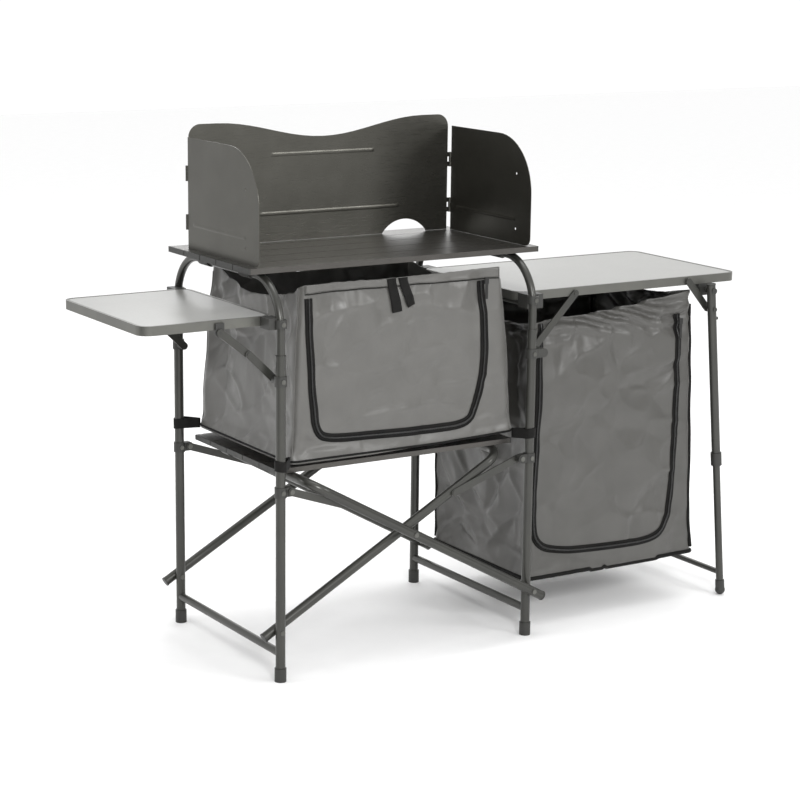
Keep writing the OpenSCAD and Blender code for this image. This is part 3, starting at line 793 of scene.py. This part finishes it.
    def swelling(self, x: float, z: float) -> float:
        """How far front and rear stand out beyond the outline.

        Args:
            x: Millimetres from the leg frame's middle.
            z: Millimetres above the floor.

        Returns:
            Millimetres.
        """
        if self.shape.swell is None:
            return 0.0
        x0, x1, depth, top = self.shape.swell
        free = 560 + (top - 560) * ease((x - 400) / 60)
        return depth * ease((x - x0) / 50) * ease((x1 - x) / 40) * ease((free - z) / 50)

    def simulate(self, height: float) -> None:
        """Runs the cloth, pinned along hem and floor, and applies it.

        Args:
            height: The bag's height; not used.
        """
        obj = self.shell
        mesh = obj.data
        rest = [v.co.copy() for v in mesh.vertices]
        group = obj.vertex_groups.new(name="pin")
        for k in range(len(mesh.vertices)):
            j = k % self.rows
            if j == 0 or j == self.rows - 1:
                group.add([k], 1.0, "REPLACE")
            elif j in (1, self.rows - 2):
                group.add([k], 0.6, "REPLACE")
        # a little spare cloth makes the loose folds
        for k, v in enumerate(mesh.vertices):
            i, j = divmod(k, self.rows)
            t = j / (self.rows - 1)
            wave = math.sin(i * 0.31 + 2.0 * math.sin(t * 4.0 + self.shape.seed)) * math.sin(math.pi * t)
            jitter = self.random.uniform(-1, 1) * math.sin(math.pi * t)
            v.co += Vector((0.0007 * jitter, 0.0009 * wave, 0.0))
        only(obj)
        mod = obj.modifiers.new("cloth", "CLOTH")
        cloth = mod.settings
        cloth.quality = 6
        cloth.mass = 0.25
        cloth.air_damping = 2.0
        cloth.tension_stiffness = 25
        cloth.compression_stiffness = 25
        cloth.shear_stiffness = 8
        cloth.bending_stiffness = 6.0
        cloth.vertex_group_mass = "pin"
        cloth.pin_stiffness = 1.0
        cloth.shrink_min = -0.02
        cloth.use_pressure = True
        cloth.uniform_pressure_force = 0.35
        cloth.effector_weights.gravity = 0.9
        mod.collision_settings.use_collision = False
        mod.point_cache.frame_start = 1
        mod.point_cache.frame_end = 26
        for f in range(1, 26):
            bpy.context.scene.frame_set(f)
        bpy.ops.object.modifier_apply(modifier=mod.name)
        bpy.context.scene.frame_set(1)
        for v, home in zip(obj.data.vertices, rest):
            shift = v.co - home
            v.co = home + shift * (0.005 / (0.005 + shift.length))

    def keep_inside(self) -> None:
        """Keeps the cloth inside the space that is free for the bag."""
        s = self.shape
        for v in self.shell.data.vertices:
            t = min(1.0, max(0.0, (v.co.z / MM - s.z0) / (s.z1 - s.z0)))
            x0, y0, x1, y1 = self.edges(t)
            v.co.x = min(max(v.co.x, (x0 - 4) * MM - MID), (x1 + 3) * MM - MID)
            extra = self.swelling((v.co.x + MID) / MM, v.co.z / MM)
            room = s.bulge if s.swell is None else 1.5
            v.co.y = min(max(v.co.y, (y0 - room - extra) * MM), (y1 + room + extra) * MM)
            v.co.z = min(max(v.co.z, s.z0 * MM), s.z1 * MM)

    def close_floor(self) -> None:
        """Adds the floor and gives the cloth its thickness."""
        bm = bmesh.new()
        bm.from_mesh(self.shell.data)
        low = min(v.co.z for v in bm.verts)
        rim = [e for e in bm.edges if e.is_boundary and max(v.co.z for v in e.verts) < low + 0.004]
        filled = bmesh.ops.holes_fill(bm, edges=rim)["faces"]
        inner = bmesh.ops.inset_region(bm, faces=filled, thickness=0.022, depth=0.0)
        for v in {v for f in filled for v in f.verts}:
            v.co.z = self.shape.z0 * MM - (0.009 if self.shape.rise else 0.0)
        log.info("%s: floor with %d seam faces", self.shape.name, len(inner["faces"]))
        bmesh.ops.recalc_face_normals(bm, faces=bm.faces)
        bm.to_mesh(self.shell.data)
        bm.free()
        apply_modifier(self.shell, "SOLIDIFY", thickness=0.0008, offset=-1.0)
        finish_piece(self.shell, self.shape.finish, "right_frame")
        self.shell.data.materials.append(palette(LINING))

    def fold(self, obj: bpy.types.Object) -> None:
        """Gives a piece of the bag its own copy of its mesh.

        Args:
            obj: The piece.
        """
        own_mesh(obj)

    def on_cloth(self, place: Vector, direction: Vector, lift: float) -> Vector:
        """Drops a point onto the cloth.

        Args:
            place: A place near the cloth.
            direction: Unit direction into the bag.
            lift: Distance above the cloth.

        Returns:
            The place just above the cloth.
        """
        hit = self.tree.ray_cast(place - direction * 0.08, direction, 0.3)[0]
        if hit is None or abs((hit - place).dot(direction)) > 0.03:
            hit = self.tree.find_nearest(place)[0] or place
        return hit - direction * lift

    def tape(
        self,
        name: str,
        corners: Sequence[Vector],
        direction: Vector,
        width: float,
        finish: Finish,
        slot: str,
        lift: float = 0.0012,
    ) -> bpy.types.Object:
        """Sews a flat tape onto the cloth.

        Args:
            name: Piece's name.
            corners: Corner points of its middle line.
            direction: Unit direction into the bag.
            width: Tape's width in millimetres.
            finish: Its finish.
            slot: Material slot of the record; not used.
            lift: Height above the cloth.

        Returns:
            The tape.
        """
        line = along(corners, 0.008)
        across = 5

        def place(i: int, j: int) -> Vector:
            before, after = line[max(0, i - 1)], line[min(len(line) - 1, i + 1)]
            side = (after - before).normalized().cross(direction).normalized()
            spot = line[i] + side * ((j / (across - 1) - 0.5) * width * MM)
            return self.on_cloth(spot, direction, lift + 0.0003 * (1 - abs(j - 2) / 2))

        obj = grid(name, len(line), across, place)
        apply_modifier(obj, "SOLIDIFY", thickness=0.0009, offset=0.0)
        finish_piece(obj, finish, "right_frame")
        self.fold(obj)
        return obj

    def zip(self, name: str, corners: Sequence[Vector], direction: Vector, width: float) -> None:
        """Sews a zip: two tapes and the coil between them.

        Args:
            name: Zip's name.
            corners: Corner points of its line.
            direction: Unit direction into the bag.
            width: Width of the tapes together, in millimetres.
        """
        self.tape(f"{name}_tape", corners, direction, width, TAPE, "webbing")
        line = [self.on_cloth(p, direction, 0.0026) for p in along(corners, 0.006)]
        coil = cord_mesh(f"{name}_coil", line, 0.0019, sides=8)
        for v in coil.data.vertices:
            v.co -= direction * 0.0003 * math.sin((v.co.x + v.co.z) * 1800)
        finish_piece(coil, TEETH, "right_frame")
        self.fold(coil)

    def piping(self, name: str, t: float, radius: float, finish: Finish) -> None:
        """Runs a bound seam around the bag.

        Args:
            name: Piece's name.
            t: Share of the height.
            radius: Binding's radius.
            finish: Its finish.
        """
        path = []
        centre = sum((self.outline(k / 8, t) for k in range(8)), Vector()) / 8
        for k in range(240):
            p = self.outline(k / 240, t)
            inward = (centre - p)
            inward.z = 0.0
            inward.normalize()
            hit = self.tree.find_nearest(p)[0]
            path.append((hit if hit is not None else p) - inward * radius * 0.4)
        obj = cord_mesh(name, path, radius, closed=True)
        finish_piece(obj, finish, "right_frame")
        self.fold(obj)

    def upright(self, name: str, share: float, t0: float, t1: float, radius: float, finish: Finish) -> None:
        """Runs a bound seam up a corner.

        Args:
            name: Piece's name.
            share: Share of the way around.
            t0: Share of the height where it starts.
            t1: Share of the height where it ends.
            radius: Binding's radius.
            finish: Its finish.
        """
        path = []
        for k in range(60):
            p = self.outline(share, t0 + (t1 - t0) * k / 59)
            hit = self.tree.find_nearest(p)[0] or p
            right = math.copysign(1, p.x - at(self.middle, 0, 0).x)
            out = Vector((right, math.copysign(1, p.y), 0)).normalized()
            path.append(hit + out * radius * 0.35)
        windows = [path[max(0, k - 2) : k + 3] for k in range(len(path))]
        path = [sum(near, Vector()) / len(near) for near in windows]
        obj = cord_mesh(name, path, radius)
        finish_piece(obj, finish, "right_frame")
        self.fold(obj)


INTO = Vector((0, 1, 0))


def corner_shares(bag: Bag) -> list[float]:
    """Shares of the way around at which a bag's corners lie.

    Args:
        bag: The bag.

    Returns:
        Front right, rear right, rear left and front left share.
    """
    s = bag.shape
    x0, y0, x1, y1 = s.bottom
    r = s.corner
    w, d, arc = x1 - x0 - 2 * r, y1 - y0 - 2 * r, math.pi * r / 2
    total = 2 * (w + d) + 4 * arc
    spots = [w / 2 + arc / 2, w / 2 + arc * 1.5 + d, w * 1.5 + arc * 2.5 + d, w * 1.5 + arc * 3.5 + 2 * d]
    return [v / total for v in spots]


class ShelfBag:
    """Bag over the shelf: U-shaped zip, hem sleeve, ties and loops."""

    def __init__(self) -> None:
        """Builds the bag."""
        self.bag = Bag(SHELF_BAG, 46)

    def build(self) -> None:
        """Adds the bag's sewn pieces."""
        b = self.bag
        b.piping("shelf_bag_bottom_binding", 0.015, 0.0022, TAPE)
        for name, share in zip(("front_right", "rear_right", "rear_left", "front_left"), corner_shares(b)):
            b.upright(f"shelf_bag_seam_{name}", share, 0.02, 0.94, 0.0012, CLOTH)
        spots = [(-214, 738), (-212, 640), (-206, 530), (-198, 478), (-170, 461), (-60, 458),
                 (60, 455), (140, 455), (170, 478), (188, 560), (190, 650), (183, 742)]
        b.zip("shelf_bag_zip", [at(x, -195, z) for x, z in spots], INTO, 17)
        hem, stitch = [[at(x, -190, z) for x in (-222, 222)] for z in (757, 746)]
        b.tape("shelf_bag_hem", hem, INTO, 20, CLOTH, "coated_fabric", 0.002)
        b.tape("shelf_bag_hem_stitch", stitch, INTO, 1.2, TAPE, "webbing", 0.0026)
        for name, x, slant, low in (("left", -28, 13, 696), ("right", -2, 19, 706)):
            line = [at(x, -190, 768), at(x + slant, -190, low)]
            piece = b.tape(f"shelf_bag_tie_{name}", line, INTO, 20, STRAP, "webbing", 0.0036)
        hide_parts("bag_ties")
        for side in (-1, 1):
            for front in (-1, 1):
                build_strap(side, front)


def build_strap(side: int, front: int) -> None:
    """Loops a webbing strap from a corner of the shelf bag around its leg.

    Args:
        side: -1 for the left legs, 1 for the right legs.
        front: -1 for the front, 1 for the rear.
    """
    leg = Vector((side * LEG_X, front * LEG_Y))
    x = SHELF_BAG.bottom[0] if side < 0 else SHELF_BAG.bottom[2]
    corner = Vector((x - side * SHELF_BAG.corner, front * (195.0 - SHELF_BAG.corner)))
    away = (leg - corner).normalized()
    start = corner + away * (SHELF_BAG.corner + 0.6)
    radius = 11.3
    reach = (leg - start).length
    turn = math.acos(radius / reach)
    heading = math.atan2(-away.y, -away.x)
    angles = [heading + turn + (2 * math.pi - 2 * turn) * k / 36 for k in range(37)]
    ring = [leg + radius * Vector((math.cos(a), math.sin(a))) for a in angles]
    spread = Vector((-away.y, away.x)) * 0.9
    first = [(start - spread).lerp(ring[0], k / 8) for k in range(8)]
    last = [ring[-1].lerp(start + spread, k / 8) for k in range(1, 9)]
    line = first + ring + last

    def place(i: int, j: int) -> Vector:
        slack = 1.6 * math.sin(math.pi * i / (len(line) - 1) * 2 + front)
        return at(line[i].x, line[i].y, 427 + slack + (j / 6 - 0.5) * 20)

    name = f"bag_strap_{'left' if side < 0 else 'right'}_{'front' if front < 0 else 'rear'}"
    strap = grid(name, len(line), 7, place)
    apply_modifier(strap, "SOLIDIFY", thickness=0.0011, offset=0.0)
    finish_piece(strap, STRAP, "left_frame" if side < 0 else "right_frame")
    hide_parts("bag_straps_left" if side < 0 else "bag_straps_right")


class CupboardBag:
    """Tall bag under the long board: bound edges and a zipped door."""

    def __init__(self) -> None:
        """Builds the bag."""
        self.bag = Bag(CUPBOARD_BAG, 60)

    def build(self) -> None:
        """Adds the bag's sewn pieces."""
        b = self.bag
        b.piping("cupboard_bag_bottom_binding", 0.006, 0.0044, TAPE)
        for name, share in zip(("front_right", "rear_right", "rear_left", "front_left"), corner_shares(b)):
            radius = 0.0048 if "right" in name else 0.0032
            b.upright(f"cupboard_bag_binding_{name}", share, 0.006, 0.95, radius, TAPE)
        spots = [(340, 640), (334, 500), (331, 330), (328, 225), (336, 178), (380, 156),
                 (520, 148), (640, 146), (680, 172), (694, 240), (697, 420), (692, 632)]
        b.zip("cupboard_bag_zip", [at(x, -178, z) for x, z in spots], INTO, 16)


# ---------------------------------------------------------------- metal trim


@dataclass
class Bead:
    """A stamped bead of the windshield, in millimetres.

    Attributes:
        name: Piece's name.
        body: Body it rides on.
        start: Start of its middle line.
        end: End of its middle line.
        out: Direction it stands out.
        width: Width.
        height: Height.
    """

    name: str
    body: str
    start: Point
    end: Point
    out: Point
    width: float = 9.0
    height: float = 0.8


BEADS = [
    Bead("bead_back_high", "right_frame", (-122, 129.4, 976), (124, 129.4, 976), (0, -1, 0)),
    Bead("bead_back_low", "right_frame", (-149, 129.4, 857), (187, 129.4, 857), (0, -1, 0)),
    Bead("bead_back_high_rear", "right_frame", (-122, 130.6, 976), (124, 130.6, 976), (0, 1, 0)),
    Bead("bead_back_low_rear", "right_frame", (-149, 130.6, 857), (187, 130.6, 857), (0, 1, 0)),
    Bead("bead_wing_left", "wing_left", (-309.6, 101, 850), (-309.6, -119, 850), (-1, 0, 0)),
    Bead("bead_wing_right", "wing_right", (308.4, 101, 850), (308.4, -119, 850), (-1, 0, 0)),
]


def build_bead(bead: Bead) -> None:
    """Makes one raised bead with tapered ends.

    Args:
        bead: The bead.
    """
    a, b = at(*bead.start), at(*bead.end)
    run = (b - a).normalized()
    out = Vector(bead.out)
    side = run.cross(out)
    columns, rows = 64, 9
    length = (b - a).length
    half = bead.width * MM / 2

    def place(i: int, j: int) -> Vector:
        u = i / (columns - 1)
        v = j / (rows - 1) * 2 - 1
        d = min(u, 1 - u) * length
        near = min(1.0, d / half)
        wide = half * math.sqrt(max(0.0, 1 - (1 - near) ** 2))
        rise = bead.height * MM * math.cos(v * math.pi / 2) * near ** 0.7
        return a.lerp(b, u) + side * (v * wide) + out * (rise - 0.0001)

    obj = grid(bead.name, columns, rows, place)
    finish_piece(obj, SHIELD, bead.body)


def build_trim() -> None:
    """Adds the rolled lips where the hoops enter the lower legs."""
    for side, body in ((-1, "left_frame"), (1, "right_frame")):
        for s in (-1, 1):
            x, y = side * LEG_X, s * LEG_Y
            name = f"{'left' if side < 0 else 'right'}_{'front' if s < 0 else 'rear'}"
            ring = [at(x + 9.6 * math.cos(a), y + 9.6 * math.sin(a), 640) for a in
                    [2 * math.pi * k / 40 for k in range(40)]]
            lip = cord_mesh(f"leg_lip_{name}", ring, 0.0007, closed=True)
            finish_piece(lip, TUBE, body)


# ---------------------------------------------------------------- scene


class Studio:
    """Camera, floor and soft light."""

    YAW = math.radians(32.2)
    PITCH = math.radians(12.2)
    ROLL = math.radians(0.7)
    PLACE = Vector((-2.3832, -3.7289, 1.4257))

    def build(self) -> None:
        """Sets up the studio."""
        self.camera()
        self.floor()
        self.light("key_front", (-1.4, -4.0, 2.4), 0.9, 80)
        self.light("left_soft", (-4.0, 1.4, 1.8), 1.0, 14)
        self.light("top_soft", (0.2, 0.2, 4.0), 2.6, 60)
        self.light("rear_rim", (1.6, 3.2, 2.6), 1.6, 20)
        self.light("right_box", (1.8, -3.3, 2.0), 0.7, 26)
        self.flag("flag_right", (3.6, -3.4, 1.4), 1.9)
        self.flag("flag_left", (-3.2, -0.9, 0.9), 2.2)
        world = bpy.data.worlds.new("studio")
        world.use_nodes = True
        back = world.node_tree.nodes["Background"]
        back.inputs[0].default_value = (1, 1, 1, 1)
        back.inputs[1].default_value = 1.06
        bpy.context.scene.view_settings.view_transform = "Standard"
        bpy.context.scene.world = world

    def camera(self) -> None:
        """Places the camera."""
        data = bpy.data.cameras.new("camera")
        data.sensor_width = 36.0
        data.lens = 36.0 * 2187.6 / 800
        cam = bpy.data.objects.new("camera", data)
        bpy.context.collection.objects.link(cam)
        level = math.cos(self.PITCH)
        ahead = Vector((math.sin(self.YAW) * level, math.cos(self.YAW) * level, -math.sin(self.PITCH)))
        right = Vector((math.cos(self.YAW), -math.sin(self.YAW), 0))
        up = right.cross(ahead)
        c, s = math.cos(self.ROLL), math.sin(self.ROLL)
        r, u = right * c + up * s, up * c - right * s
        cam.matrix_world = Matrix((
            (r.x, u.x, -ahead.x, self.PLACE.x),
            (r.y, u.y, -ahead.y, self.PLACE.y),
            (r.z, u.z, -ahead.z, self.PLACE.z),
            (0, 0, 0, 1),
        ))
        bpy.context.scene.camera = cam

    def floor(self) -> None:
        """Lays the floor."""
        sheet = grid("floor", 9, 9, lambda i, j: Vector((i * 3.0 - 12, j * 3.0 - 12, 0)))
        sheet.data.materials.append(palette(FLOOR))

    def flag(self, name: str, place: Point, size: float) -> None:
        """Stands a dark card beside the object, outside the view, to shape its sides.

        Args:
            name: Card's name.
            place: Its middle.
            size: Edge length.
        """
        middle = Vector(place)
        ahead = (Vector((0, 0, place[2])) - middle).normalized()
        side = ahead.cross(Vector((0, 0, 1)))
        half = size / 2
        lift = Vector((0, 0, half))
        card = grid(name, 3, 3, lambda i, j: middle + side * ((i - 1) * half) + lift * (j - 1))
        card.data.materials.append(palette(STRAP))
        card.visible_camera = False

    def light(self, name: str, place: Point, size: float, power: float) -> None:
        """Hangs one soft light that points at the object.

        Args:
            name: Light's name.
            place: Its place.
            size: Edge length.
            power: Watts.
        """
        data = bpy.data.lights.new(name, "AREA")
        data.size = size
        data.energy = power
        lamp = bpy.data.objects.new(name, data)
        bpy.context.collection.objects.link(lamp)
        lamp.location = place
        lamp.rotation_euler = (Vector((0.0, 0.0, 0.5)) - Vector(place)).to_track_quat("-Z", "Y").to_euler()


class Frame:
    """Finishes of the pieces carried over from the frame."""

    SPECIAL: dict[str, Finish] = {
        "windshield_back": SHIELD,
        "windshield_wing_left": SHIELD,
        "windshield_wing_right": SHIELD,
    }

    def build(self) -> None:
        """Gives every carried-over piece its material."""
        slots = {p["node"]: p["material_slot"] for p in frame["record"]["subparts"]}
        for name, obj in frame["nodes"].items():
            finish = self.SPECIAL.get(name) or NODE_FINISH[slots[name]]
            obj.data.materials.clear()
            obj.data.materials.append(palette(finish))
            log.info("%s: %s", name, finish.name)


def main() -> None:
    """Builds the scene."""
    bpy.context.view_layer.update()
    Studio().build()
    Frame().build()
    ShelfBag().build()
    CupboardBag().build()
    for bead in BEADS:
        build_bead(bead)
    build_trim()


if __name__ == "__main__":
    main()
